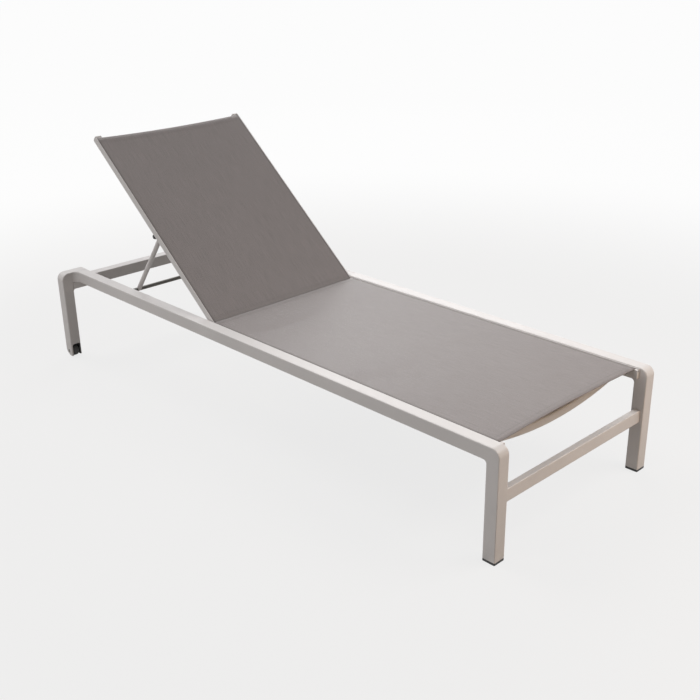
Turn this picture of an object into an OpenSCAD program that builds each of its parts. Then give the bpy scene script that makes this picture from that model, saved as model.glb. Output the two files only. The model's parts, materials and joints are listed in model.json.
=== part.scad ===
// Sun lounger: a frame of square tube with a sling seat, a sling backrest that
// reclines on two bolts, a stay that props the backrest on two racks, and two
// small wheels in the legs at the head end.
// X runs from the head end to the foot end, Y to the left and Z up. The origin
// is on the floor under the middle of the frame. Sizes are in millimetres.

/* [Overall] */
// Length from the head end to the foot end
length = 2000; // [1700:10:2400]
// Width over the outer faces of the two side rails
width = 700; // [580:10:840]
// Height of the top of the side rails above the floor
height = 325; // [270:5:390]

/* [Frame tube] */
// Outer size of the square tube
tube = 40; // [34:1:48]
// Wall of the square tube
tube_wall = 2; // [1.6:0.1:2.6]
// Radius along the edges of the tube
edge_r = 3; // [2.5:0.5:4]
// Outer radius where a leg turns into its rail
corner_r = 25; // [18:1:30]
// Inner radius under the corner of a foot leg
corner_fillet = 10; // [6:1:14]
// Length of the corner piece of a foot leg along its rail
corner_reach = 55; // [50:1:70]
// Distance that the head legs stand out beyond the rails
leg_offset = 60; // [50:1:72]
// Radius in plan between a rail and its head leg
side_fillet = 20; // [10:1:20]
// Top of the head crossbar below the top of the rails
crossbar_drop = 25; // [20:1:32]
// Radius under the ends of the head crossbar
crossbar_fillet = 8; // [6:1:12]

/* [Foot end] */
// Height of the stretcher tube between the foot legs
stretcher_h = 38; // [30:1:46]
// Depth of the stretcher tube
stretcher_w = 20; // [16:1:24]
// Wall of the stretcher tube
stretcher_wall = 1.5; // [1.2:0.1:2]
// Underside of the stretcher above the floor
stretcher_z = 159; // [120:1:195]
// Face of the stretcher behind the end face of the foot legs
stretcher_set = 10; // [6:1:14]
// Thickness of the glide under a foot leg
glide_h = 7; // [5:0.5:10]
// Depth of the glide's plug inside the leg
glide_plug = 22; // [15:1:30]

/* [Wheels] */
// Diameter of a wheel
wheel_d = 42; // [36:1:48]
// Width of a wheel tyre
wheel_w = 26; // [21:1:28]
// Radius of the tyre's shoulders
shoulder_r = 10; // [8:0.5:10.5]
// Diameter of a wheel hub under its tyre
hub_d = 30; // [25:1:33]
// Diameter of the wheel axle
axle_d = 8; // [6:1:10]
// Clearance on each side of a wheel in its slot
wheel_gap = 1; // [0.8:0.1:1.2]
// Clearance between a wheel and the top of its slot
slot_head = 8; // [6:1:10]
// Radius in the top corners of a wheel slot
slot_r = 8; // [6:1:9]
// Height of the end of a head leg above the floor
leg_lift = 4.5; // [3.5:0.5:6]
// Radius at the head side of a head leg's end
toe_r = 32; // [26:1:33]
// Height of the wheel housing inside the leg
housing_h = 80; // [70:1:96]

/* [Sling] */
// Thickness of the sling fabric
sling_t = 1; // [0.8:0.1:1.2]
// Clearance between the fabric and the metal
sling_gap = 0.3; // [0.2:0.05:0.4]
// Diameter of the keder rod in the hem
keder_d = 4.4; // [4:0.1:4.6]
// Wall outside the keder groove
groove_wall = 1.4; // [1.2:0.1:1.6]
// Metal over the keder groove
groove_roof = 0.9; // [0.8:0.1:1]

/* [Seat] */
// Top of the sling below the top of the rails
seat_drop = 3; // [2:0.5:5]
// Width of a seat track
track_w = 12; // [11:0.5:14]
// Height of a seat track
track_h = 28; // [26:0.5:32]
// End of the tracks before the foot end
track_set = 25; // [20:1:30]
// Edge of the seat sling before the foot end
sling_set = 35; // [30:1:44]
// Sweep of the sling's free edge at the foot end
sling_sweep = 10; // [6:0.5:12]
// Start of the tracks behind the backrest pivot
track_gap = 15; // [14:1:20]
// Length of sling over the head end of the tracks
sling_lap = 4; // [2:1:4]
// Height of the oval tube of the seat spreaders
spreader_h = 28; // [24:1:30]
// Width of the oval tube of the seat spreaders
spreader_w = 15; // [13:1:18]
// Wall of every spreader
spreader_wall = 1.5; // [1.2:0.1:2]
// Drop of a seat spreader at the middle
spreader_bow = 38; // [30:1:46]
// Centre of the foot spreader before the foot end
foot_spreader_set = 90; // [80:1:104]
// Centre of the hinge spreader from the backrest pivot
hinge_spreader_set = 63; // [52:1:75]
// Number of screws in each track
track_screws_n = 6; // [4:2:8]

/* [Backrest] */
// Angle of the backrest above flat
recline = 40; // [30:1:50]
// Distance of the backrest pivot from the head end
pivot_from_head = 807; // [760:1:900]
// Space between the flat backrest and the head end
back_set = 9; // [6:1:12]
// Width of a stile
stile_w = 24; // [20:1:28]
// Depth of a stile
stile_h = 20; // [18:1:22]
// Wall of a stile
stile_wall = 1.6; // [1.4:0.1:1.9]
// Clearance between a stile and its rail
stile_gap = 5; // [4.9:0.1:6]
// Thickness of the cap on a stile's end
cap_t = 3; // [2:0.5:4]
// Length of a cap's plugs inside the stile
cap_plug = 10; // [8:1:14]
// Distance of the sling's upper edge from the stile's end
back_sling_set = 5; // [4:1:10]
// Length of the backrest sling past its pivot
back_lap = 3; // [1:0.5:3.5]
// Sweep of the sling's upper edge
back_sling_sweep = 6; // [4:1:8]
// Diameter of the backrest spreaders
back_spreader_d = 16; // [14:1:17]
// Bow of a backrest spreader away from the sling
back_spreader_bow = 30; // [24:1:36]
// Distance of the lower spreader from the pivot
low_spreader_at = 60; // [50:1:72]
// Distance of the upper spreader from the end of the stiles
top_spreader_set = 55; // [46:1:66]

/* [Hinge] */
// Diameter of the hinge bolt
bolt_d = 8; // [6:1:10]
// Wall of the nylon bush around the bolt
bush_wall = 2; // [1.6:0.1:2.4]
// Thickness of the hinge bracket
bracket_t = 4; // [3.4:0.1:4]
// Length of the hinge bracket along the rail
bracket_l = 30; // [26:1:36]
// Height of the hinge bracket
bracket_h = 32; // [30:1:33]
// Diameter of the head of the hinge bolt
bolt_head_d = 14; // [12:1:16]
// Thickness of the head of the hinge bolt
bolt_head_t = 4; // [3:0.5:5]

/* [Stay] */
// Distance of the stay's pivot along the stile
stay_along = 378; // [340:1:420]
// Distance of the stay's pivot behind the stile's centre
stay_back = 20; // [19:0.5:23]
// Length of a stay leg from its pivot to the bar
stay_leg = 292; // [270:1:300]
// Diameter of a stay leg
stay_d = 16; // [14:1:17]
// Wall of a stay leg and of the bar
stay_wall = 1.5; // [1.2:0.1:2]
// Clearance between a stay leg and the stile in width
stay_gap = 2.5; // [2:0.1:3]
// Diameter of the stay bar
bar_d = 13; // [11:0.5:14]
// Clearance between the bar's end and the rail
bar_gap = 1; // [0.6:0.1:1.4]
// Drop of the stay bar below the top of the sling at the middle notch
bar_drop = 15; // [12:0.5:18]
// Diameter of the stay's pin
pin_d = 8; // [6:0.5:9]
// Diameter of the knob on the stay's pin
knob_d = 14; // [12:0.5:16]
// Sheet of the stay's bracket under the stile
clevis_t = 3; // [2.5:0.1:3.5]
// Length of the stay's bracket along the stile
clevis_l = 40; // [38:1:48]

/* [Racks] */
// Thickness of a rack
rack_t = 4; // [3.4:0.1:4]
// Recline at the first notch
first_notch = 30; // [28:1:32]
// Recline between two notches
notch_step = 5; // [5:0.5:6]
// Number of notches
notch_count = 5; // [3:1:5]
// Depth of a notch below the bar's running line
notch_depth = 2.5; // [2:0.1:3]
// Clearance between the bar and the tips of the rack
rack_gap = 0.5; // [0.4:0.05:0.8]
// Metal under the first notch
rack_web = 9; // [7:0.5:11]
// Length of the stop after the last notch
rack_stop = 12; // [9:1:14]

/* [Hidden] */
$fn = 48;

// Overshoot of a cut past the face that it opens
cut = 1;
// Radial clearance of a turning fit, and clearance round a plug or screw
run = 0.05;
play = 0.1;
// Smallest radius inside a tube
least_r = 0.5;

head_x = -length / 2;
foot_x = length / 2;
rail_in = width / 2 - tube;
rail_bottom = height - tube;
rail_end = foot_x - corner_reach;
leg_face = width / 2 + leg_offset;
leg_mid = leg_face - tube / 2;
leg_in = leg_face - tube;
cavity = tube - 2 * tube_wall;
crossbar_top = height - crossbar_drop;
crossbar_bottom = crossbar_top - tube;

wheel_r = wheel_d / 2;
wheel_x = head_x + wheel_r;
slot_w = wheel_w + 2 * wheel_gap;
slot_top = wheel_d + slot_head;
axle_rim = 2.3;
axle_head_d = axle_d + 2 * axle_rim;
axle_head_t = 3;
axle_head_in = 0.5;

sling_top = height - seat_drop;
seat_top_down = sling_t + sling_gap;
keder_bore = keder_d / 2 + play;
hem_r = keder_bore + sling_t;
groove_r = hem_r + sling_gap;
groove_in = groove_wall + groove_r;
groove_down = seat_top_down + groove_roof + groove_r;
lip_cover = 1.2;
lip_w = groove_wall + lip_cover;
slit_gap = 0.4;
slit_w = sling_t + 2 * slit_gap;

track_face = rail_in - track_w;
pivot_x = head_x + pivot_from_head;
pivot_z = sling_top - stile_h / 2;
track_x0 = pivot_x + track_gap;
track_x1 = foot_x - track_set;
seat_sling_x0 = track_x0 - sling_lap;
seat_sling_x1 = foot_x - sling_set;
keder_in = 2;
spreader_set = 2.6;
spreader_z = sling_top - seat_top_down - spreader_set - spreader_h / 2;
screw_d = 5;
screw_head_d = 9;
screw_head_t = 2.5;
screw_bite = 3;
track_screw_z = sling_top - (groove_down + groove_r + track_h) / 2;
first_screw = 100;
track_screw_x = [for (i = [0 : track_screws_n - 1])
  track_x0 + first_screw + i * (track_x1 - track_x0 - 2 * first_screw) / (track_screws_n - 1)];

stile_out = rail_in - stile_gap;
stile_in = stile_out - stile_w;
stile_mid = (stile_out + stile_in) / 2;
stile_end = pivot_from_head - back_set - cap_t;
pad_d = 16;
pad_h = pivot_z - stile_h / 2 - crossbar_top - sling_gap;
bush_r = bolt_d / 2 + run + bush_wall;
bracket_face = rail_in - bracket_t;
bracket_space = 0.5;
bracket_x1 = seat_sling_x0 - bracket_space;
bracket_x0 = bracket_x1 - bracket_l;
bracket_top_down = 1;
bracket_top = sling_top - bracket_top_down;
bracket_r = 4;
bracket_screw_up = 9;
bracket_screw_in = 7;
bracket_screw_z = rail_bottom + bracket_screw_up;
bracket_screw_x = [bracket_x0 + bracket_screw_in, bracket_x1 - bracket_screw_in];
back_sling_x0 = -stile_end + back_sling_set;
back_sling_x1 = -bush_r - run - sling_gap;

clevis_set = 0.5;
knob_room = 7;
clevis_in = stile_in + clevis_set;
clevis_out = stile_out - knob_room;
stay_out = clevis_in - stay_gap;
stay_mid = stay_out - stay_d / 2;
pin_rim = 2.5;
washer_rim = 3;
clevis_w = 18;
clevis_drop = stay_back - stile_h / 2;
rivet_d = 4;
rivet_head_d = 7;
rivet_head_t = 1.6;
rivet_set = 5;
knob_gap = 0.3;
knob_face = clevis_out + knob_gap;
knob_in = 1;
knob_t = knob_room - knob_gap - knob_in;
bar_end = rail_in - bar_gap;
bar_cap_t = 3;

// Turn of the stay against the backrest for each degree of recline, which brings the
// bar to its drop at the middle notch
mid_notch = first_notch + notch_step * (notch_count - 1) / 2;
mid_fold = asin((stay_z(mid_notch) - sling_top + bar_drop) / stay_leg);
fold_ratio = 1 + mid_fold / mid_notch;

// Place of the stay's pivot and of its bar at a recline of a degrees
function stay_x(a) = pivot_x - stay_along * cos(a) - stay_back * sin(a);
function stay_z(a) = pivot_z + stay_along * sin(a) - stay_back * cos(a);
function fold(a) = (fold_ratio - 1) * a;
function bar_x(a) = stay_x(a) - stay_leg * cos(fold(a));
function bar_z(a) = stay_z(a) - stay_leg * sin(fold(a));

last_notch = first_notch + (notch_count - 1) * notch_step;
rack_lead = 3;
rack_step = 2;
rack_r = bar_d / 2 + rack_gap;
rack_foot = 2;
rack_chamfer = 4;
stop_gap = 2;

frame_grey = [0.80, 0.78, 0.76];
steel = [0.62, 0.62, 0.62];
black = [0.10, 0.10, 0.10];
fabric_grey = [0.55, 0.52, 0.50];
dark_steel = [0.30, 0.30, 0.29];

// Rectangle with round corners, centred
module rounded_rect(w, h, r) {
  square([w - 2 * r, h], center = true);
  square([w, h - 2 * r], center = true);
  for (x = [-1, 1], y = [-1, 1]) translate([x * (w / 2 - r), y * (h / 2 - r)]) circle(r);
}

// Section of a rectangular tube with round edges
module tube_section(w, h, wall, r) {
  difference() {
    rounded_rect(w, h, r);
    rounded_rect(w - 2 * wall, h - 2 * wall, max(r - wall, least_r));
  }
}

// Oval with its long side along X
module oval(long, wide) {
  square([long - wide, wide], center = true);
  for (s = [-1, 1]) translate([s * (long - wide) / 2, 0]) circle(wide / 2);
}

module ring(r, wall) {
  difference() {
    circle(r);
    circle(r - wall);
  }
}

// Section in the Y and Z directions, drawn out along X
module along_x(x0, x1) {
  translate([x0, 0, 0]) rotate([90, 0, 90]) linear_extrude(x1 - x0) children();
}

// Section in the X and Z directions, drawn out along Y
module along_y(y0, y1) {
  translate([0, y1, 0]) rotate([90, 0, 0]) linear_extrude(y1 - y0) children();
}

// Round bar along Y, centred on the point x, z
module bar_y(x, z, y0, y1, r) {
  translate([x, y1, z]) rotate([90, 0, 0]) cylinder(r = r, h = y1 - y0);
}

// Leg with a short arm at its top, in the XY plane, corner at the origin.
// inset is the distance inside the outer faces
module elbow_body(inset, drop, reach, fillet) {
  side = tube - 2 * inset;
  r = max(edge_r - inset, least_r);
  translate([-tube / 2, -drop, 0]) rotate([-90, 0, 0])
    linear_extrude(drop - corner_r) rounded_rect(side, side, r);
  translate([-reach, -tube / 2, 0]) rotate([0, 90, 0])
    linear_extrude(reach - corner_r) rounded_rect(side, side, r);
  translate([-corner_r, -corner_r, 0]) rotate_extrude(angle = 90) intersection() {
    translate([corner_r - tube / 2, 0]) rounded_rect(side, side, r);
    translate([0, -tube / 2]) square([corner_r, tube]);
  }
  if (fillet > 0) fillet_ring(-tube - fillet, -tube - fillet, fillet, tube / 2);
}

// Quarter of a round-edged ring whose hollow side is the fillet
module fillet_ring(x, y, r, thick) {
  translate([x, y, 0]) rotate_extrude(angle = 90) intersection() {
    translate([r + tube / 2, 0]) rounded_rect(tube, tube, edge_r);
    translate([r, -tube / 2]) square([thick, tube]);
  }
}

module elbow(drop, reach, fillet, end_wall) {
  difference() {
    elbow_body(0, drop, reach, fillet);
    elbow_body(tube_wall, drop + cut, end_wall ? reach - tube_wall : reach + cut, 0);
  }
}

module right() {
  mirror([0, 1, 0]) children();
}

// Frame

module rail() {
  color(frame_grey) difference() {
    along_x(head_x + tube, rail_end)
      translate([width / 2 - tube / 2, height - tube / 2])
        tube_section(tube, tube, tube_wall, edge_r);
    for (x = track_screw_x)
      bar_y(x, track_screw_z, rail_in - cut, rail_in + tube_wall + cut, screw_d / 2 + run);
    for (x = bracket_screw_x)
      bar_y(x, bracket_screw_z, rail_in - cut, rail_in + tube_wall + cut, screw_d / 2 + run);
  }
}

module foot_leg() {
  color(frame_grey) translate([foot_x, width / 2 - tube / 2, height]) rotate([90, 0, 0])
    elbow(height - glide_h, corner_reach, corner_fillet, false);
}

// Side view of a head leg: the head side of its end is rounded
module toe_outline() {
  translate([head_x, leg_lift + toe_r]) square([tube, height - leg_lift - toe_r]);
  translate([head_x + toe_r, leg_lift]) square([tube - toe_r, toe_r + cut]);
  translate([head_x + toe_r, leg_lift + toe_r]) circle(toe_r, $fn = 96);
}

// Slot for the wheel, wider by spare on the side towards the rail
module wheel_slot(spare) {
  w = slot_w + spare;
  along_x(head_x - cut, head_x + tube + cut) translate([leg_mid - spare / 2, 0]) {
    translate([-w / 2, -cut]) square([w, slot_top - slot_r + cut]);
    translate([0, slot_top - 2 * slot_r]) rounded_rect(w, 4 * slot_r, slot_r);
  }
}

module axle_hole() {
  bar_y(wheel_x, wheel_r, leg_in - cut, leg_face + cut, axle_d / 2 + run);
  bar_y(wheel_x, wheel_r, leg_face - axle_head_in - axle_head_t, leg_face + cut,
    axle_head_d / 2 + play);
}

module head_leg() {
  color(frame_grey) {
    difference() {
      intersection() {
        translate([head_x + tube / 2, leg_face, height]) rotate([90, 0, 90])
          elbow(height, leg_face - rail_in, 0, true);
        along_y(rail_in, leg_face) toe_outline();
      }
      wheel_slot((cavity - slot_w) / 2);
      axle_hole();
    }
    intersection() {
      translate([head_x + tube + side_fillet, width / 2 + side_fillet, height - tube / 2])
        rotate([0, 0, 180]) fillet_ring(0, 0, side_fillet, side_fillet / 2);
      translate([head_x + tube, width / 2, rail_bottom]) cube([side_fillet, side_fillet, tube]);
    }
  }
}

module head_crossbar() {
  fillet_web = crossbar_fillet * 0.6;
  color(frame_grey) {
    difference() {
      along_y(-leg_in, leg_in) translate([head_x + tube / 2, crossbar_top - tube / 2])
        tube_section(tube, tube, tube_wall, edge_r);
      for (s = [0, 1]) mirror([0, s, 0]) translate([head_x - cut, rail_in, rail_bottom])
        cube([tube + 2 * cut, leg_in - rail_in + cut, tube]);
    }
    for (s = [0, 1]) mirror([0, s, 0]) intersection() {
      translate([head_x + tube / 2, leg_in, crossbar_bottom]) rotate([90, 0, 90])
        fillet_ring(-crossbar_fillet, -crossbar_fillet, crossbar_fillet, fillet_web);
      translate([head_x, leg_in - 2 * crossbar_fillet, crossbar_bottom - crossbar_fillet])
        cube([tube, 2 * crossbar_fillet, crossbar_fillet + edge_r]);
    }
  }
}

module foot_stretcher() {
  stretcher_r = 2.5;
  color(frame_grey) along_y(-rail_in, rail_in)
    translate([foot_x - stretcher_set - stretcher_w / 2, stretcher_z + stretcher_h / 2])
      tube_section(stretcher_w, stretcher_h, stretcher_wall, stretcher_r);
}

module foot_glide() {
  color(black) translate([foot_x - tube / 2, width / 2 - tube / 2, 0]) {
    linear_extrude(glide_h) rounded_rect(tube, tube, edge_r);
    translate([0, 0, glide_h]) linear_extrude(glide_plug)
      rounded_rect(cavity - 2 * play, cavity - 2 * play, edge_r - tube_wall);
  }
}

module crossbar_pads() {
  color(black) for (s = [-1, 1])
    translate([head_x + tube / 2, s * stile_mid, crossbar_top]) cylinder(d = pad_d, h = pad_h);
}

// Sling, tracks and spreaders

// Section of a track or stile: v runs in from its outer face, n up to the sling top
module keder_section(w, h) {
  difference() {
    union() {
      translate([0, -h]) square([w, h - seat_top_down]);
      translate([0, -h]) square([lip_w, h]);
    }
    translate([groove_in, -groove_down]) circle(groove_r);
    translate([lip_w, -groove_down]) square([slit_w, groove_down + cut]);
  }
}

// Section of a sling with a keder hem at each side, out to the faces at y = reach
module sling_section(reach) {
  for (s = [0, 1]) mirror([s, 0]) difference() {
    union() {
      translate([reach - groove_in, -groove_down]) circle(hem_r);
      translate([reach - lip_w - slit_gap - sling_t, -groove_down]) square([sling_t, groove_down]);
    }
    translate([reach - groove_in, -groove_down]) circle(keder_bore);
  }
  half = reach - lip_w - slit_gap;
  translate([-half, -sling_t]) square([2 * half, sling_t]);
}

module keder_rods(reach, x0, x1, z) {
  color(black) for (s = [-1, 1])
    along_x(x0, x1) translate([s * (reach - groove_in), z - groove_down]) circle(d = keder_d);
}

// Cylinder whose flank sweeps a free edge: bow is the depth over the given half width
module sweep_cut(x, half, bow, side, z) {
  hem_cut = 2 * (groove_down + hem_r + cut);
  r = (half * half + bow * bow) / (2 * bow);
  translate([x + side * (r - bow), 0, z]) cylinder(r = r, h = hem_cut, center = true, $fn = 360);
}

// Tube with the given section, d high, bowed down by bow between two faces at y = half
module bowed_tube(half, bow, d) {
  r = (half * half + bow * bow) / (2 * bow);
  over = 3;
  turn = asin(half / r) + over;
  intersection() {
    translate([0, 0, r - bow]) rotate([90, 0, 90]) rotate([0, 0, -90 - turn])
      rotate_extrude(angle = 2 * turn, $fn = 360) translate([r, 0]) children();
    cube([2 * d, 2 * half, 4 * (bow + d)], center = true);
  }
}

module seat_track() {
  color(frame_grey) difference() {
    along_x(track_x0, track_x1)
      translate([rail_in, sling_top]) mirror([1, 0]) keder_section(track_w, track_h);
    for (x = track_screw_x)
      bar_y(x, track_screw_z, track_face - cut, rail_in + cut, screw_d / 2 + run);
  }
}

module pan_screw(x, z, face, long) {
  dome = screw_head_d * 0.6;
  bar_y(x, z, face, face + long, screw_d / 2);
  translate([x, face, z]) rotate([90, 0, 0]) rotate_extrude() intersection() {
    square([screw_head_d / 2, screw_head_t]);
    translate([0, -dome]) circle(dome + screw_head_t);
  }
}

module track_screws() {
  color(steel) for (s = [0, 1], x = track_screw_x)
    mirror([0, s, 0]) pan_screw(x, track_screw_z, track_face, track_w + screw_bite);
}

module seat_spreader(x) {
  color(frame_grey) translate([x, 0, spreader_z])
    bowed_tube(track_face, spreader_bow, spreader_h) difference() {
      oval(spreader_h, spreader_w);
      oval(spreader_h - 2 * spreader_wall, spreader_w - 2 * spreader_wall);
    }
}

module seat_sling() {
  color(fabric_grey) difference() {
    along_x(seat_sling_x0, seat_sling_x1) translate([0, sling_top]) sling_section(rail_in);
    sweep_cut(seat_sling_x1, rail_in, sling_sweep, 1, sling_top);
  }
}

// Hinge

module bracket_screw(grow) {
  head_r = screw_head_d / 2;
  rotate_extrude() polygon([[0, 0], [head_r + grow, 0], [screw_d / 2 + grow, head_r - screw_d / 2],
    [screw_d / 2 + grow, bracket_t + screw_bite], [0, bracket_t + screw_bite]]);
}

module at_bracket_screws() {
  for (x = bracket_screw_x)
    translate([x, bracket_face, bracket_screw_z]) rotate([-90, 0, 0]) children();
}

module hinge_bracket() {
  color(frame_grey) difference() {
    along_y(bracket_face, rail_in)
      translate([bracket_x0 + bracket_l / 2, bracket_top - bracket_h / 2])
        rounded_rect(bracket_l, bracket_h, bracket_r);
    bar_y(pivot_x, pivot_z, bracket_face - cut, rail_in + cut, bolt_d / 2 + run);
    at_bracket_screws() bracket_screw(run);
  }
}

module bracket_screws() {
  color(steel) for (s = [0, 1]) mirror([0, s, 0]) at_bracket_screws() bracket_screw(0);
}

module hinge_bolt() {
  color(steel) {
    bar_y(pivot_x, pivot_z, stile_in - play, rail_in - play, bolt_d / 2);
    translate([pivot_x, stile_in - play, pivot_z]) rotate([90, 0, 0]) rotate_extrude() intersection() {
      square([bolt_head_d / 2, bolt_head_t]);
      translate([0, -bolt_head_d]) circle(bolt_head_d + bolt_head_t);
    }
  }
}

module hinge_washers() {
  color(black) for (s = [0, 1]) mirror([0, s, 0]) difference() {
    bar_y(pivot_x, pivot_z, stile_out + run, bracket_face - run, bolt_d);
    bar_y(pivot_x, pivot_z, stile_out - cut, bracket_face + cut, bolt_d / 2 + run);
  }
}

// Racks

// Lower line of the bar's run, less the clearance
function rack_line(a0, a1) = [for (a = [a0 : rack_step : a1]) [bar_x(a), bar_z(a) - rack_r]];

module rack() {
  start = first_notch - rack_lead;
  line = rack_line(start, last_notch);
  stop_x = bar_x(last_notch) + rack_r + stop_gap;
  floor_z = bar_z(first_notch) - rack_r - notch_depth - rack_web;
  color(frame_grey) along_y(rail_in - rack_t, rail_in) difference() {
    polygon(concat(line, [[stop_x, bar_z(last_notch) - rack_r], [stop_x, sling_top],
      [stop_x + rack_stop, sling_top], [stop_x + rack_stop, rail_bottom + rack_foot],
      [line[0][0] + rack_web, floor_z], [line[0][0], floor_z + rack_chamfer]]));
    for (i = [0 : notch_count - 1]) let (a = first_notch + i * notch_step)
      translate([bar_x(a), bar_z(a)]) rotate(fold(a)) translate([-notch_depth, 0]) circle(rack_r);
  }
}

// Wheels

module wheel_housing() {
  block = cavity - 2 * play;
  color(black) difference() {
    intersection() {
      translate([head_x + tube / 2, leg_mid, leg_lift])
        linear_extrude(housing_h) rounded_rect(block, block, edge_r - tube_wall);
      along_y(leg_in, leg_face) toe_outline();
    }
    wheel_slot(0);
    axle_hole();
  }
}

module axle() {
  face = leg_face - axle_head_in;
  color(steel) {
    bar_y(wheel_x, wheel_r, leg_in + axle_head_in, face - axle_head_t, axle_d / 2);
    bar_y(wheel_x, wheel_r, face - axle_head_t, face, axle_head_d / 2);
  }
}

module at_wheel() {
  translate([wheel_x, leg_mid, wheel_r]) rotate([90, 0, 0]) children();
}

module tyre() {
  color(black) at_wheel() rotate_extrude($fn = 96) intersection() {
    rounded_rect(wheel_d, wheel_w, shoulder_r);
    translate([hub_d / 2, -wheel_w / 2]) square([wheel_d, wheel_w]);
  }
}

module hub() {
  web_in = 5;
  recess_r = 1;
  recess_in = axle_d / 2 + 3.5;
  recess_out = hub_d / 2 - 2.5;
  hub_w = wheel_w - 2;
  color(black) at_wheel() rotate_extrude($fn = 96) difference() {
    translate([axle_d / 2 + run, -hub_w / 2]) square([hub_d / 2 - axle_d / 2 - 2 * run, hub_w]);
    for (s = [-1, 1]) translate([(recess_in + recess_out) / 2, s * hub_w / 2])
      rounded_rect(recess_out - recess_in, 2 * web_in, recess_r);
  }
}

// Backrest. Its parts are drawn flat, with the pivot at the origin, the head end
// towards minus X and Z square to the sling, and then raised

module on_backrest() {
  translate([pivot_x, 0, pivot_z]) rotate([0, recline, 0]) children();
}

module stile_chambers(grow) {
  z0 = -stile_h + stile_wall - grow;
  groove_low = -groove_down - groove_r - stile_wall + grow;
  web_x = groove_in + groove_r - stile_wall / 2;
  translate([stile_wall - grow, z0]) square([web_x - stile_wall + 2 * grow, groove_low - z0]);
  web2 = web_x + stile_wall;
  top = -seat_top_down - stile_wall + grow;
  translate([web2 + stile_wall / 2 - grow, z0])
    square([stile_w - web2 - 1.5 * stile_wall + 2 * grow, top - z0]);
}

module at_stile_section() {
  translate([stile_out, stile_h / 2]) mirror([1, 0]) children();
}

module stile() {
  color(frame_grey) on_backrest() difference() {
    intersection() {
      along_x(-stile_end, stile_h / 2) at_stile_section() difference() {
        keder_section(stile_w, stile_h);
        stile_chambers(0);
      }
      along_y(stile_in, stile_out) {
        circle(stile_h / 2);
        translate([-stile_end, -stile_h / 2]) square([stile_end, stile_h]);
      }
    }
    bar_y(0, 0, stile_in - cut, stile_out + cut, bush_r + run);
  }
}

module stile_cap() {
  cap_edge_r = 1.5;
  color(frame_grey) on_backrest() {
    along_x(-stile_end - cap_t, -stile_end) translate([stile_mid, 0])
      rounded_rect(stile_w, stile_h, cap_edge_r);
    along_x(-stile_end, -stile_end + cap_plug) at_stile_section() stile_chambers(-play);
  }
}

module hinge_bush() {
  color(black) on_backrest() difference() {
    bar_y(0, 0, stile_in, stile_out, bush_r);
    bar_y(0, 0, stile_in - cut, stile_out + cut, bolt_d / 2 + run);
  }
}

module back_spreader(at) {
  down = seat_top_down + 2 * sling_gap + back_spreader_d / 2;
  color(frame_grey) on_backrest() translate([-at, 0, stile_h / 2 - down])
    bowed_tube(stile_in, back_spreader_bow, back_spreader_d)
      ring(back_spreader_d / 2, spreader_wall);
}

module back_sling() {
  half = stile_out - lip_w - slit_gap;
  color(fabric_grey) on_backrest() difference() {
    union() {
      along_x(back_sling_x0, back_sling_x1) translate([0, stile_h / 2]) sling_section(stile_out);
      along_x(back_sling_x1 - cut, back_lap)
        translate([-half, stile_h / 2 - sling_t]) square([2 * half, sling_t]);
    }
    sweep_cut(back_sling_x0, stile_out, back_sling_sweep, -1, stile_h / 2);
  }
}

module clevis_tab() {
  translate([-stay_along, -stay_back]) circle(clevis_w / 2);
  translate([-stay_along - clevis_w / 2, -stay_back]) square([clevis_w, clevis_drop]);
}

module stay_bracket() {
  plate_x = -stay_along - clevis_l / 2;
  color(frame_grey) on_backrest() difference() {
    union() {
      along_y(clevis_in, clevis_in + clevis_t) clevis_tab();
      along_y(clevis_out - clevis_t, clevis_out) clevis_tab();
      translate([plate_x, clevis_in, -stile_h / 2 - clevis_t])
        cube([clevis_l, clevis_out - clevis_in, clevis_t]);
    }
    bar_y(-stay_along, -stay_back, clevis_in - cut, clevis_out + cut, pin_d / 2 + run);
    at_rivets() cylinder(d = rivet_d + 2 * run, h = 4 * clevis_t, center = true);
  }
}

module at_rivets() {
  for (s = [-1, 1])
    translate([-stay_along + s * (clevis_l / 2 - rivet_set), (clevis_in + clevis_out) / 2, -stile_h / 2])
      children();
}

module stay_rivets() {
  color(steel) for (s = [0, 1]) mirror([0, s, 0]) on_backrest() at_rivets() {
    translate([0, 0, -clevis_t]) cylinder(d = rivet_d, h = clevis_t);
    translate([0, 0, -clevis_t - rivet_head_t]) cylinder(d = rivet_head_d, h = rivet_head_t);
  }
}

module stay_pin() {
  head_t = 3;
  pin_space = 0.5;
  face = stay_out - stay_d - pin_space;
  color(steel) on_backrest() {
    bar_y(-stay_along, -stay_back, face, knob_face + knob_t / 2, pin_d / 2);
    bar_y(-stay_along, -stay_back, face - head_t, face, pin_d / 2 + pin_rim);
  }
}

module stay_washers() {
  color(black) for (s = [0, 1]) mirror([0, s, 0]) on_backrest() difference() {
    bar_y(-stay_along, -stay_back, stay_out + play, clevis_in - play, pin_d / 2 + washer_rim);
    bar_y(-stay_along, -stay_back, stay_out - cut, clevis_in + cut, pin_d / 2 + run);
  }
}

module knob() {
  color(black) on_backrest() translate([-stay_along, knob_face, -stay_back]) rotate([-90, 0, 0])
    rotate_extrude() difference() {
      intersection() {
        square([knob_d / 2, knob_t]);
        translate([0, knob_t - knob_d]) circle(knob_d);
      }
      translate([0, -cut]) square([pin_d / 2 + run, knob_t / 2 + cut + run]);
    }
}

// Stay. Its parts are drawn with the pin at the origin and the bar at minus X

module on_stay() {
  translate([stay_x(recline), 0, stay_z(recline)]) rotate([0, -fold(recline), 0]) children();
}

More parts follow.
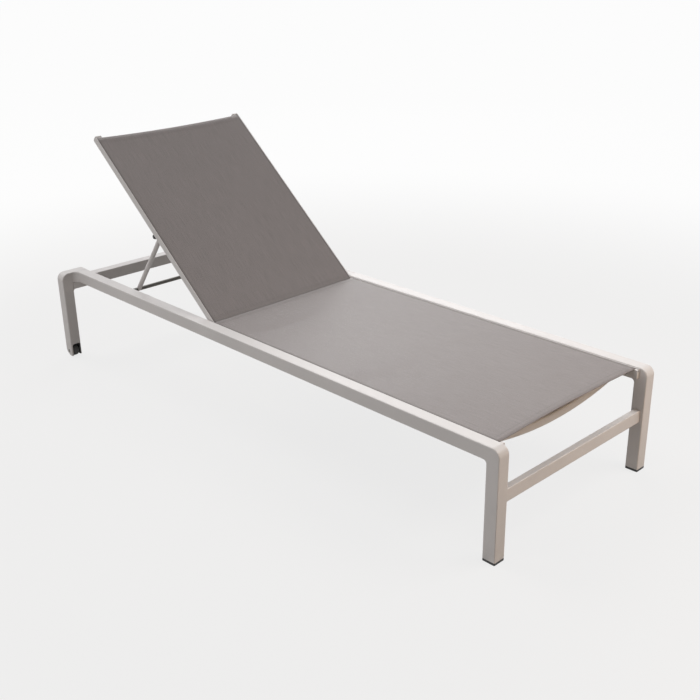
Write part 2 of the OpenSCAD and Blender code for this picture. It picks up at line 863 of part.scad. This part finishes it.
module stay_leg_tube() {
  eye = 14;
  r = stay_d / 2;
  color(frame_grey) on_stay() difference() {
    intersection() {
      translate([r, stay_mid, 0]) rotate([0, -90, 0]) cylinder(r = r, h = stay_leg + r);
      along_y(stay_mid - r, stay_mid + r) {
        circle(r);
        translate([-stay_leg, -r]) square([stay_leg, 2 * r]);
      }
    }
    translate([-eye, stay_mid, 0]) rotate([0, -90, 0]) cylinder(r = r - stay_wall, h = stay_leg);
    bar_y(0, 0, stay_mid - r - cut, stay_mid + r + cut, pin_d / 2 + run);
    bar_y(-stay_leg, 0, stay_mid - r - cut, stay_mid + r + cut, bar_d / 2 + run);
  }
}

module stay_bar() {
  tube_end = bar_end - bar_cap_t;
  color(dark_steel) on_stay() difference() {
    bar_y(-stay_leg, 0, -tube_end, tube_end, bar_d / 2);
    bar_y(-stay_leg, 0, -tube_end - cut, tube_end + cut, bar_d / 2 - stay_wall);
  }
}

module bar_end_caps() {
  tube_end = bar_end - bar_cap_t;
  plug = 10;
  color(black) on_stay() for (s = [0, 1]) mirror([0, s, 0]) {
    bar_y(-stay_leg, 0, tube_end, bar_end, bar_d / 2);
    bar_y(-stay_leg, 0, tube_end - plug, tube_end, bar_d / 2 - stay_wall - play);
  }
}

rail();  // left_rail
right() rail();  // right_rail
foot_leg();  // left_foot_leg
right() foot_leg();  // right_foot_leg
head_leg();  // left_head_leg
right() head_leg();  // right_head_leg
head_crossbar();
foot_stretcher();
foot_glide();  // left_foot_glide
right() foot_glide();  // right_foot_glide
crossbar_pads();
seat_track();  // left_seat_track
right() seat_track();  // right_seat_track
track_screws();
seat_spreader(pivot_x + hinge_spreader_set);  // hinge_spreader
seat_spreader((track_x0 + track_x1) / 2);  // middle_spreader
seat_spreader(foot_x - foot_spreader_set);  // foot_spreader
seat_sling();
keder_rods(rail_in, seat_sling_x0 + keder_in, seat_sling_x1 - keder_in, sling_top);  // seat_keder_rods
hinge_bracket();  // left_hinge_bracket
right() hinge_bracket();  // right_hinge_bracket
bracket_screws();
hinge_bolt();  // left_hinge_bolt
right() hinge_bolt();  // right_hinge_bolt
hinge_washers();
rack();  // left_rack
right() rack();  // right_rack
wheel_housing();  // left_wheel_housing
right() wheel_housing();  // right_wheel_housing
axle();  // left_axle
right() axle();  // right_axle
tyre();  // left_tyre
hub();  // left_hub
right() tyre();  // right_tyre
right() hub();  // right_hub
stile();  // left_stile
right() stile();  // right_stile
stile_cap();  // left_stile_cap
right() stile_cap();  // right_stile_cap
back_spreader(low_spreader_at);  // lower_back_spreader
back_spreader(stile_end - top_spreader_set);  // upper_back_spreader
back_sling();
on_backrest() keder_rods(stile_out, back_sling_x0 + keder_in, back_sling_x1 - keder_in, stile_h / 2);  // back_keder_rods
hinge_bush();  // left_hinge_bush
right() hinge_bush();  // right_hinge_bush
stay_bracket();  // left_stay_bracket
right() stay_bracket();  // right_stay_bracket
stay_rivets();
stay_pin();  // left_stay_pin
right() stay_pin();  // right_stay_pin
stay_washers();
knob();  // left_knob
right() knob();  // right_knob
stay_leg_tube();  // left_stay_leg
right() stay_leg_tube();  // right_stay_leg
stay_bar();
bar_end_caps();
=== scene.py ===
"""Sun lounger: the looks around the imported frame.

Metres, in the frame's own axes: X towards the foot end, Y to the left, Z up. The
photograph is 700 by 700 pixels.
"""

import json
import math

import bmesh
import bpy
from mathutils import Matrix, Vector


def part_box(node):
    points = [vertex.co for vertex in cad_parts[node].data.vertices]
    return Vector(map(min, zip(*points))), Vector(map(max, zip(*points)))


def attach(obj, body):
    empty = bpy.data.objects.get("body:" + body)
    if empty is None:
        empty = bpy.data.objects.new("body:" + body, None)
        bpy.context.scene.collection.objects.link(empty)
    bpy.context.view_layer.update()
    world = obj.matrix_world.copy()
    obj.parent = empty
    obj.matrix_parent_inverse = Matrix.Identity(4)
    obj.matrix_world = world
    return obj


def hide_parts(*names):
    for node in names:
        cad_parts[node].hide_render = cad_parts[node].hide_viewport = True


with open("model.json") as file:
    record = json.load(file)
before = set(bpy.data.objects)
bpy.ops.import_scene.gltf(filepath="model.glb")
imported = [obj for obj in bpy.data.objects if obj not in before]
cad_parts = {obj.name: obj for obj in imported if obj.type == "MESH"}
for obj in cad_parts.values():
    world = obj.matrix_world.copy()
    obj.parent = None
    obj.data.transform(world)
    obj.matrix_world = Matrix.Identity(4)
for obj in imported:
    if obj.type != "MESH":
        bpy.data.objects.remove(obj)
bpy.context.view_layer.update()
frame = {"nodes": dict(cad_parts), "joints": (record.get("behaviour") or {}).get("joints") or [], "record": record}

MM = 0.001

# Camera, solved from the straight edges of the frame in the photograph
CAMERA_AT = Vector((2.288, -2.061, 1.485))
CAMERA_YAW = 136.43
CAMERA_PITCH = 22.88
CAMERA_ROLL = 0.91
FOCAL_PIXELS = 1009.2
PHOTO_PIXELS = 700
SENSOR_MM = 36.0

# Places taken from the frame
RECLINE = next(j for j in frame["joints"] if j["name"] == "backrest_recline")
PIVOT = Vector(RECLINE["pos_m"])
SEAT_LOW, SEAT_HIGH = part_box("seat_sling")
RAIL_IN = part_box("left_rail")[0].y
TRACK_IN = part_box("left_seat_track")[0].y
STILE_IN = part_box("left_hinge_bush")[0].y
STILE_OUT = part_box("left_hinge_bush")[1].y

# Backrest as photographed, and its sling measured along it from the pivot
RECLINE_NOW = math.radians(40)
STILE_DEPTH = 20 * MM
BACK_FROM = -790 * MM
BACK_TO = -6.4 * MM
BACK_LAP = 9.4 * MM

# How far each sling's end draws in at the middle, and how deep it sags
SEAT_SWEEP = 10 * MM
BACK_SWEEP = 6 * MM
SEAT_SAG = 3.5 * MM
BACK_SAG = 4.5 * MM
SAG_AT_ENDS = 0.35

# Thickness of the sling's solid, and of the cloth that is drawn for it
CLOTH = 1.0 * MM
CLOTH_SEEN = 0.8 * MM

# Slot and keder groove, as in the tracks and stiles
SLIT_FROM_FACE = 3.5 * MM
GROOVE_FROM_FACE = 5.0 * MM
GROOVE_DOWN = 5.8 * MM

# Hem: how it dips into the slot, as distances before it and depths in thicknesses of the
# cloth, its turn round the rod in degrees, and how far in from the slot it is doubled
DIP = ((1.5 * MM, 0.5), (0.4 * MM, 0.8), (0.0, 1.6))
HEM_R = 2.8 * MM
HEM_START = 62
HEM_STEP = 21
HEM_POINTS = 16
HEM_DOUBLED = 9.0 * MM

# Fold of a free edge, and the steps that turn it under: outwards along the cloth, then up,
# so that minus is inwards or down
FOLD = 26 * MM
FOLD_STEPS = ((0.35 * MM, -0.5 * CLOTH), (-0.35 * MM, -0.7 * CLOTH),
              (-FOLD / 2, 0), (-FOLD / 2, 0))

# Grid of the cloth, and how far its parts keep from the slots and the clear faces
COLUMNS = 60
ROW = 12 * MM
FLAT_FROM_SLIT = 3 * MM
LAP_FROM_SLIT = 1 * MM
FOLD_FROM_CLEAR = 2 * MM

# Seams and their stitches, whose size is that of half a stitch
SEAM_FROM_EDGE = 21 * MM
SEAM_FROM_SLIT = 6.0 * MM
SEAM_FROM_END = 8 * MM
SEAM_FROM_CLEAR = 6 * MM
STITCH_PITCH = 4.2 * MM
STITCH = (1.6 * MM, 0.42 * MM, 0.36 * MM)

# Weave: widths of a yarn across and along, and how round it is
YARN_ACROSS = 1.25 * MM
YARN_ALONG = 1.45 * MM
YARN_POWER = 2.4

# Floor: half its width, and between which distances from the middle it goes from its near
# brightness to its far one
FLOOR_HALF = 40
PALE_FROM = 1.3
PALE_TO = 3.6
FLOOR_NEAR = 0.79
FLOOR_FAR = 0.97

# Sky: how bright it looks, and how strongly it lights
SKY_SEEN = 0.97
SKY_LIGHT = 0.18


# Shader maths

class Signal:
    """A shader value: Python's operators on it add the Math nodes."""

    def __init__(self, build, socket):
        self.build = build
        self.socket = socket

    def _math(self, operation, *values):
        return self.build.node("ShaderNodeMath", dict(enumerate(values)), operation=operation)

    def __add__(self, other):
        return self._math("ADD", self, other)

    __radd__ = __add__

    def __mul__(self, other):
        return self._math("MULTIPLY", self, other)

    __rmul__ = __mul__

    def __sub__(self, other):
        return self._math("SUBTRACT", self, other)

    def __rsub__(self, other):
        return self._math("SUBTRACT", other, self)

    def __truediv__(self, other):
        return self._math("DIVIDE", self, other)

    def __rtruediv__(self, other):
        return self._math("DIVIDE", other, self)

    def __pow__(self, other):
        return self._math("POWER", self, other)

    def absolute(self):
        return self._math("ABSOLUTE", self)

    def floor(self):
        return self._math("FLOOR", self)

    def fraction(self):
        return self._math("FRACT", self)

    def at_most(self, other):
        return self._math("MINIMUM", self, other)

    def at_least(self, other):
        return self._math("MAXIMUM", self, other)

    def ramp(self, low, high, low_out=0.0, high_out=1.0):
        """Smooth step from low_out to high_out between low and high."""
        return self.build.node(
            "ShaderNodeMapRange",
            {0: self, 1: low, 2: high, 3: low_out, 4: high_out},
            interpolation_type="SMOOTHSTEP",
        )


class Nodes:
    """A node tree, and the one method that adds any node to it."""

    def __init__(self, tree):
        self.tree = tree

    def node(self, kind, inputs=None, output=0, **settings):
        new = self.tree.nodes.new(kind)
        for key, value in settings.items():
            setattr(new, key, value)
        for key, value in (inputs or {}).items():
            self.feed(new.inputs[key], value)
        if isinstance(output, tuple):
            return [Signal(self, new.outputs[name]) for name in output]
        return Signal(self, new.outputs[output])

    def feed(self, socket, value):
        if isinstance(value, Signal):
            self.tree.links.new(value.socket, socket)
        else:
            socket.default_value = value

    def shown(self):
        """1 for what the camera, a gloss or a clear surface sees, and 0 for lighting."""
        kinds = self.node("ShaderNodeLightPath",
                          output=("Is Camera Ray", "Is Glossy Ray", "Is Transmission Ray"))
        return (kinds[0] + kinds[1] + kinds[2]).at_most(1.0)


class Finish(Nodes):
    """A material with a Principled shader."""

    def __init__(self, name, **constants):
        self.material = bpy.data.materials.new(name)
        self.material.use_nodes = True
        super().__init__(self.material.node_tree)
        self.shader = self.tree.nodes["Principled BSDF"]
        for socket, value in constants.items():
            self.shader.inputs[socket.replace("_", " ")].default_value = value

    def place(self):
        """Object coordinates, in metres in the frame's own axes."""
        return self.node("ShaderNodeTexCoord", output="Object")

    def uv(self, name):
        """A UV map of the piece, in metres."""
        return self.node("ShaderNodeUVMap", uv_map=name)

    def parts(self, vector):
        """The three values of a vector."""
        return self.node("ShaderNodeSeparateXYZ", {0: vector}, output=(0, 1, 2))

    def noise(self, vector, scale, detail=2.0, roughness=0.5):
        return self.node(
            "ShaderNodeTexNoise",
            {"Vector": vector, "Scale": scale, "Detail": detail, "Roughness": roughness},
            output="Fac",
        )

    def blend(self, factor, low, high):
        """Colour between low and high."""
        return self.node(
            "ShaderNodeMix", {0: factor, 6: low, 7: high}, output=2, data_type="RGBA"
        )

    def bump(self, height, strength, distance):
        return self.node(
            "ShaderNodeBump", {"Height": height, "Strength": strength, "Distance": distance}
        )

    def set(self, **sockets):
        for name, value in sockets.items():
            self.feed(self.shader.inputs[name.replace("_", " ")], value)
        return self.material


def tint(r, g, b):
    """A colour given as it looks on screen, from 0 to 255, as the linear colour of a shader."""
    def linear(level):
        level /= 255
        return level / 12.92 if level <= 0.04045 else ((level + 0.055) / 1.055) ** 2.4
    return (linear(r), linear(g), linear(b), 1.0)


def scaled(color, factor):
    """A shader's colour times a factor, with no channel above 1."""
    return (*(min(1.0, channel * factor) for channel in color[:3]), 1.0)


# Finishes

def powder_coat(name, color, peel=0.12):
    """Satin powder coat: orange peel, a fine fleck, slow drift of tone, dust low down."""
    coat = Finish(name, IOR=1.5)
    at = coat.place()
    drift = coat.noise(at, scale=7.0, detail=3.0)
    fleck = coat.noise(at, scale=2600.0, detail=1.0)
    grime = coat.noise(at, scale=38.0, detail=4.0, roughness=0.6)
    satin = coat.noise(at, scale=60.0, detail=3.0)
    fine_peel = coat.noise(at, scale=950.0, detail=2.0)
    broad_peel = coat.noise(at, scale=320.0, detail=1.0)
    height = coat.parts(at)[2]
    low_down = height.ramp(0.0, 0.09, 1.0, 0.0) * grime.ramp(0.4, 0.75)
    clean = coat.blend(drift.ramp(0.3, 0.7), scaled(color, 0.975), scaled(color, 1.02))
    flecked = coat.blend(fleck.ramp(0.52, 0.72) * 0.14, clean, scaled(color, 0.74))
    dusty = coat.blend(low_down * 0.2, flecked, scaled(color, 0.55))
    return coat.set(
        Base_Color=dusty,
        Roughness=0.38 + 0.14 * satin + 0.12 * low_down,
        Normal=coat.bump(fine_peel + 0.35 * broad_peel, peel, 0.4 * MM),
    )


def sling_mesh(name, thread, weave_shade_color):
    """Coated sling mesh: a basket weave of round yarns with small holes between them.

    The cloth map gives the place across and along the cloth. The edge map gives the
    distance in from the keder hem and from the nearer free edge.
    """
    mesh = Finish(name, IOR=1.5, Sheen_Weight=0.12, Sheen_Roughness=0.5)
    cloth = mesh.uv("cloth")
    across, along, _ = mesh.parts(cloth)
    from_hem, from_end, _ = mesh.parts(mesh.uv("edge"))
    u = across / YARN_ACROSS
    v = along / YARN_ALONG
    wide = 1.0 - ((u.fraction() - 0.5) * 2.0).absolute() ** YARN_POWER
    long = 1.0 - ((v.fraction() - 0.5) * 2.0).absolute() ** YARN_POWER
    over = ((u.floor() + v.floor()) / 2.0).fraction() * 2.0
    warp = wide * (0.55 + 0.45 * over)
    weft = long * (1.0 - 0.45 * over)
    height = warp.at_least(weft)
    hole = (1.0 - wide).at_most(1.0 - long)
    # Where the hem is doubled the cloth has no holes; it is also painted a little darker as shade.
    doubled = from_hem.ramp(HEM_DOUBLED - MM, HEM_DOUBLED, 1.0, 0.0)
    # The folded free edges are painted a little darker as shade.
    folded = from_end.ramp(FOLD - 1.5 * MM, FOLD, 1.0, 0.0)
    # Painted shade: a dark band in the cloth beside the slot, where it dips in.
    slot_shade = from_hem.ramp(1.5 * MM, 6.0 * MM, 1.0, 0.0)
    solid = hole.ramp(0.46, 0.64, 1.0, 0.0).at_least(doubled)
    streaked = mesh.node("ShaderNodeCombineXYZ", {0: across * 900.0, 1: along * 14.0})
    streak = mesh.noise(streaked, scale=1.0)
    cloud = mesh.noise(cloth, scale=3.5, detail=3.0)
    # Painted shade in the weave: the colour runs darker where the yarns dip and pass under; streak and cloud are
    # the cloth's own tone.
    tone = 0.7 * height + 0.28 * streak.ramp(0.3, 0.7) + 0.14 * cloud - 0.08
    # Painted shade taken off the tone: a little at the doubled hem and the folded edges, much in the band beside
    # the slot.
    shaded = tone - 0.08 * doubled - 0.05 * folded - 0.5 * slot_shade
    return mesh.set(
        Base_Color=mesh.blend(shaded.ramp(0.0, 1.0), weave_shade_color, thread),
        Roughness=0.48 + 0.16 * (1.0 - height),
        Alpha=solid,
        Normal=mesh.bump(height, 0.3, 0.5 * MM),
    )


def sewing_thread(name, color):
    """Twisted polyester thread."""
    thread = Finish(name, Sheen_Weight=0.2)
    at = thread.place()
    twist = thread.noise(at, scale=1500.0, detail=1.0)
    return thread.set(
        Base_Color=thread.blend(twist, scaled(color, 0.8), scaled(color, 1.15)),
        Roughness=0.62 + 0.1 * twist,
        Normal=thread.bump(twist, 0.4, 0.2 * MM),
    )


def moulded_plastic(name, color, rough=0.5):
    """Moulded nylon with a fine spark-eroded grain and scuffs."""
    plastic = Finish(name, IOR=1.52)
    at = plastic.place()
    grain = plastic.noise(at, scale=1800.0, detail=2.0)
    scuff = plastic.noise(at, scale=120.0, detail=4.0, roughness=0.65)
    return plastic.set(
        Base_Color=plastic.blend(scuff.ramp(0.45, 0.8) * 0.5, color, scaled(color, 2.1)),
        Roughness=rough - 0.08 + 0.2 * scuff,
        Normal=plastic.bump(grain, 0.25, 0.15 * MM),
    )


def tread_rubber(name, color):
    """Matt rubber, greyer where it has rolled."""
    rubber = Finish(name, IOR=1.5)
    at = rubber.place()
    dust = rubber.noise(at, scale=260.0, detail=4.0, roughness=0.7)
    return rubber.set(
        Base_Color=rubber.blend(dust.ramp(0.4, 0.75) * 0.6, color, scaled(color, 2.2)),
        Roughness=0.66 + 0.15 * dust,
        Normal=rubber.bump(dust, 0.3, 0.3 * MM),
    )


def plain_steel(name, color, rough):
    """Turned or drawn steel with fine marks round it."""
    steel = Finish(name, Metallic=0.9)
    at = steel.place()
    marks = steel.noise(at, scale=2200.0, detail=2.0)
    smear = steel.noise(at, scale=90.0, detail=3.0)
    return steel.set(
        Base_Color=steel.blend(smear, scaled(color, 0.85), scaled(color, 1.1)),
        Roughness=rough + 0.15 * smear,
        Normal=steel.bump(marks, 0.15, 0.1 * MM),
    )


def coated_bar(name, color):
    """Steel tube under a dark coat that has rubbed a little."""
    coat = Finish(name, IOR=1.5)
    at = coat.place()
    rub = coat.noise(at, scale=75.0, detail=4.0, roughness=0.6)
    grain = coat.noise(at, scale=900.0, detail=2.0)
    return coat.set(
        Base_Color=coat.blend(rub.ramp(0.5, 0.8) * 0.5, color, scaled(color, 1.9)),
        Roughness=0.42 + 0.2 * rub,
        Normal=coat.bump(grain, 0.1, 0.3 * MM),
    )


FINISHES = {
    "frame_coat": powder_coat("frame_coat", tint(211, 207, 205)),
    # The sling's second colour is the painted shade in the dips of its weave.
    "sling_fabric": sling_mesh("sling_fabric", tint(137, 129, 127), tint(91, 84, 82)),
    "keder_rod": moulded_plastic("keder_rod", tint(58, 54, 52)),
    "black_plastic": moulded_plastic("black_plastic", tint(26, 26, 26)),
    "wheel_hub": moulded_plastic("wheel_hub", tint(52, 52, 51), rough=0.42),
    "wheel_rubber": tread_rubber("wheel_rubber", tint(58, 58, 57)),
    "stainless": plain_steel("stainless", tint(176, 174, 170), rough=0.28),
    "stay_steel": coated_bar("stay_steel", tint(124, 122, 117)),
}
THREAD = sewing_thread("sewing_thread", tint(112, 106, 101))


def dress_frame():
    """Gives every CAD node the finish of its material slot."""
    for entry in frame["record"]["subparts"]:
        node = frame["nodes"][entry["node"]]
        node.data.materials.clear()
        node.data.materials.append(FINISHES[entry["material_slot"]])


# Slings

def keder_hem(face):
    """The hem from the flat cloth through the slot of a track or stile and round its rod.

    Gives the points of the +Y side, with heights down from the top of the cloth.
    """
    slit = face - SLIT_FROM_FACE
    eye = Vector((face - GROOVE_FROM_FACE, -GROOVE_DOWN))
    points = [Vector((slit - before, -depth * CLOTH)) for before, depth in DIP]
    turns = [math.radians(HEM_START - HEM_STEP * i) for i in range(HEM_POINTS)]
    return points + [eye + HEM_R * Vector((math.cos(turn), math.sin(turn))) for turn in turns]


class Sling:
    """One sling, drawn flat: x from 0 to its length, z = 0 at the top of its cloth.

    face is the outer face of its track or stile and clear the inner one, so the cloth is
    free to sag between the clear faces. sweeps are how far the edges at x = 0 and at the
    far end draw in at the middle, and lap is the length of flat cloth past the far end of
    the hems.
    """

    def __init__(self, name, face, clear, length, sag, sweeps, lap):
        self.name = name
        self.face = face
        self.clear = clear
        self.length = length
        self.sag = sag
        self.sweeps = sweeps
        self.lap = lap

    def section(self):
        """Cross-section from hem to hem, its length from the middle, and that of the slot."""
        hem = keder_hem(self.face)
        half = self.face - SLIT_FROM_FACE - FLAT_FROM_SLIT
        flat = [Vector((half * (2 * i / COLUMNS - 1), -CLOTH / 2)) for i in range(COLUMNS + 1)]
        points = [Vector((-p.x, p.y)) for p in reversed(hem)] + flat + hem
        run = [0.0]
        for a, b in zip(points, points[1:]):
            run.append(run[-1] + (b - a).length)
        middle = run[-1] / 2
        to_slot = run[len(hem) + len(flat) + len(DIP) - 1] - middle
        return points, [r - middle for r in run], to_slot

    def settle(self, x, y):
        """How far a point of the flat cloth moves along, and how far it drops."""
        share = min(1.0, max(0.0, x / self.length))
        bow = 1 - (y / self.face) ** 2
        along = bow * (self.sweeps[0] * (1 - share) ** 3 - self.sweeps[1] * share ** 3)
        across = min(1.0, abs(y) / self.clear)
        depth = SAG_AT_ENDS + (1 - SAG_AT_ENDS) * math.sin(math.pi * share)
        return along, self.sag * (1 - across ** 2) * depth

    def pull(self, mesh, edges, dx, dz=0.0):
        """Extrudes edges of the cloth by a step and gives the new edges."""
        made = bmesh.ops.extrude_edge_only(mesh, edges=edges)["geom"]
        fresh = {g for g in made if isinstance(g, bmesh.types.BMVert)}
        bmesh.ops.translate(mesh, verts=list(fresh), vec=(dx, 0, dz))
        return [g for g in made if isinstance(g, bmesh.types.BMEdge)
                and all(v in fresh for v in g.verts)]

    def rim(self, edges, half):
        """The edges of a rim that lie within half of the middle line."""
        return [e for e in edges if all(abs(v.co.y) < half for v in e.verts)]

    def fold_under(self, mesh, rim, side):
        """Turns the free edge under itself, as a hem of two layers."""
        for dx, dz in FOLD_STEPS:
            rim = self.pull(mesh, rim, side * dx, dz)

    def cloth(self, matrix):
        """The cloth's mesh, hemmed, swept and sagging, put in place by the matrix."""
        rows = int(self.length / ROW)
        points, run, to_slot = self.section()
        mesh = bmesh.new()
        width = mesh.verts.layers.float.new("width")
        verts = [mesh.verts.new((0, p.x, p.y)) for p in points]
        for v, r in zip(verts, run):
            v[width] = r
        start_rim = [mesh.edges.new(pair) for pair in zip(verts, verts[1:])]
        end_rim = start_rim
        for _ in range(rows):
            end_rim = self.pull(mesh, end_rim, self.length / rows)
        if self.lap:
            lap_half = self.face - SLIT_FROM_FACE - LAP_FROM_SLIT
            end_rim = self.pull(mesh, self.rim(end_rim, lap_half), self.lap)
        fold_half = self.clear - FOLD_FROM_CLEAR
        self.fold_under(mesh, self.rim(start_rim, fold_half), -1)
        self.fold_under(mesh, self.rim(end_rim, fold_half), 1)
        cloth_map = mesh.loops.layers.uv.new("cloth")
        edge_map = mesh.loops.layers.uv.new("edge")
        for polygon in mesh.faces:
            for loop in polygon.loops:
                x, across = loop.vert.co.x, loop.vert[width]
                loop[cloth_map].uv = (across, x)
                to_end = min(x, self.length + self.lap - x)
                loop[edge_map].uv = (max(0.0, to_slot - abs(across)), max(0.0, to_end))
        for v in mesh.verts:
            along, drop = self.settle(v.co.x, v.co.y)
            v.co.x += along
            v.co.z -= drop
        bmesh.ops.recalc_face_normals(mesh, faces=mesh.faces)
        top = [f for f in mesh.faces if abs(f.calc_center_median().y) < self.clear / 2]
        if sum(f.normal.z * f.calc_area() for f in top) < 0:
            bmesh.ops.reverse_faces(mesh, faces=mesh.faces)
        bmesh.ops.transform(mesh, matrix=matrix, verts=mesh.verts)
        cloth = finished(self.name + "_cloth", mesh, FINISHES["sling_fabric"])
        thick = cloth.modifiers.new("cloth_thickness", "SOLIDIFY")
        thick.thickness = CLOTH_SEEN
        thick.offset = 0
        return cloth

    def seams(self):
        """Two long seams beside the keder hems and one across each folded edge."""
        side = self.face - SLIT_FROM_FACE - SEAM_FROM_SLIT
        whole = self.length + self.lap
        across = self.clear - SEAM_FROM_CLEAR
        for y in (-side, side):
            yield Vector((SEAM_FROM_END, y)), Vector((self.length - SEAM_FROM_END, y))
        for x in (SEAM_FROM_EDGE, whole - SEAM_FROM_EDGE):
            yield Vector((x, -across)), Vector((x, across))

    def stitching(self, matrix):
        """Lock stitches along every seam, lying on the settled cloth."""
        mesh = bmesh.new()
        size = Matrix.Diagonal((*STITCH, 1.0))
        top = -CLOTH / 2 + CLOTH_SEEN / 2
        for start, end in self.seams():
            count = int((end - start).length / STITCH_PITCH)
            step = (end - start) / count
            turn = Matrix.Rotation(math.atan2(step.y, step.x), 4, "Z")
            for i in range(count):
                x, y = start + step * (i + 0.5)
                along, drop = self.settle(x, y)
                place = Matrix.Translation((x + along, y, top - drop))
                bmesh.ops.create_icosphere(
                    mesh, subdivisions=1, radius=1.0, matrix=matrix @ place @ turn @ size
                )
        return finished(self.name + "_stitching", mesh, THREAD)


def finished(name, mesh, material):
    """A smooth piece at the origin from a bmesh."""
    data = bpy.data.meshes.new(name)
    mesh.to_mesh(data)
    mesh.free()
    for polygon in data.polygons:
        polygon.use_smooth = True
    data.materials.append(material)
    piece = bpy.data.objects.new(name, data)
    bpy.context.scene.collection.objects.link(piece)
    return piece


def seat_sling():
    """The seat's cloth and its stitching, which ride on the frame."""
    sling = Sling("seat_sling", RAIL_IN, TRACK_IN, length=SEAT_HIGH.x - SEAT_LOW.x,
                  sag=SEAT_SAG, sweeps=(0.0, SEAT_SWEEP), lap=0.0)
    place = Matrix.Translation((SEAT_LOW.x, 0, SEAT_HIGH.z))
    cloth = sling.cloth(place)
    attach(cloth, "frame")
    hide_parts("seat_sling")
    stitching = sling.stitching(place)
    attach(stitching, "frame")


def back_sling():
    """The backrest's cloth and its stitching, raised as photographed."""
    sling = Sling("back_sling", STILE_OUT, STILE_IN, length=BACK_TO - BACK_FROM,
                  sag=BACK_SAG, sweeps=(BACK_SWEEP, 0.0), lap=BACK_LAP)
    raised = Matrix.Translation(PIVOT) @ Matrix.Rotation(RECLINE_NOW, 4, "Y")
    place = raised @ Matrix.Translation((BACK_FROM, 0, STILE_DEPTH / 2))
    cloth = sling.cloth(place)
    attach(cloth, "backrest")
    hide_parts("back_sling")
    stitching = sling.stitching(place)
    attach(stitching, "backrest")


# Stage

def stage():
    """Pale floor and even sky, which light softly and are seen as near white."""
    mesh = bmesh.new()
    bmesh.ops.create_grid(mesh, x_segments=1, y_segments=1, size=FLOOR_HALF)
    paper = Finish("floor_paper", Roughness=0.9)
    across, along, _ = paper.parts(paper.place())
    away = (across ** 2.0 + along ** 2.0) ** 0.5
    share = paper.shown() * away.ramp(PALE_FROM, PALE_TO, FLOOR_NEAR, FLOOR_FAR)
    white = paper.node("ShaderNodeEmission", {"Color": (1, 1, 1, 1), "Strength": 1.0})
    plain = Signal(paper, paper.shader.outputs[0])
    mixed = paper.node("ShaderNodeMixShader", {0: share, 1: plain, 2: white})
    paper.feed(paper.tree.nodes["Material Output"].inputs[0], mixed)
    floor = finished("floor", mesh, paper.set(Base_Color=tint(155, 151, 147)))
    world = bpy.data.worlds.new("studio")
    world.use_nodes = True
    sky = Nodes(world.node_tree)
    background = world.node_tree.nodes["Background"].inputs
    background["Color"].default_value = (0.98, 0.99, 1.0, 1.0)
    sky.feed(background["Strength"], sky.shown().ramp(0.0, 1.0, SKY_LIGHT, SKY_SEEN))
    bpy.context.scene.world = world


def soft_light(name, at, aim, size, power, color):
    """A round lamp at one place, turned to another, which the camera doesn't see."""
    lamp = bpy.data.lights.new(name, "AREA")
    lamp.shape = "DISK"
    lamp.size = size
    lamp.energy = power
    lamp.color = color
    holder = bpy.data.objects.new(name, lamp)
    bpy.context.scene.collection.objects.link(holder)
    holder.visible_camera = False
    holder.location = at
    holder.rotation_euler = (Vector(aim) - Vector(at)).to_track_quat("-Z", "Y").to_euler()


def lights():
    """Soft lamps, which give each face of the tube the photograph's share of light."""
    soft_light("key_high_behind", at=(-4.0, -1.0, 5.0), aim=(0, 0, 0.3),
               size=3.6, power=182, color=(1.0, 0.99, 0.99))
    soft_light("card_far_side", at=(-3.3, 3.7, 2.8), aim=(0, 0, 0.3),
               size=3.8, power=106, color=(1.0, 0.99, 0.99))
    soft_light("card_near_side", at=(-0.3, -4.2, 1.8), aim=(0, 0, 0.2),
               size=2.4, power=39, color=(1.0, 0.98, 0.97))
    soft_light("overhead_foot", at=(1.9, 1.0, 2.1), aim=(0.9, 0.1, 0.2),
               size=1.2, power=32, color=(1.0, 0.99, 0.98))
    soft_light("warm_fill_from_foot", at=(2.3, 0.2, 0.7), aim=(0.9, 0, 0.2),
               size=1.2, power=5, color=(1.0, 0.60, 0.28))


def camera():
    """The photograph's camera, from its yaw, pitch and roll."""
    yaw, pitch, roll = (math.radians(a) for a in (CAMERA_YAW, CAMERA_PITCH, CAMERA_ROLL))
    level = Vector((math.cos(yaw), math.sin(yaw), 0))
    forward = math.cos(pitch) * level - math.sin(pitch) * Vector((0, 0, 1))
    right = Vector((math.sin(yaw), -math.cos(yaw), 0))
    down = forward.cross(right)
    rolled_right = math.cos(roll) * right + math.sin(roll) * down
    rolled_down = -math.sin(roll) * right + math.cos(roll) * down
    data = bpy.data.cameras.new("photo_camera")
    data.sensor_width = SENSOR_MM
    data.lens = FOCAL_PIXELS / PHOTO_PIXELS * SENSOR_MM
    holder = bpy.data.objects.new("photo_camera", data)
    bpy.context.scene.collection.objects.link(holder)
    turn = Matrix((rolled_right, -rolled_down, -forward)).transposed()
    holder.matrix_world = Matrix.Translation(CAMERA_AT) @ turn.to_4x4()
    bpy.context.scene.camera = holder


dress_frame()
seat_sling()
back_sling()
stage()
lights()
camera()
bpy.context.scene.view_settings.view_transform = "Standard"
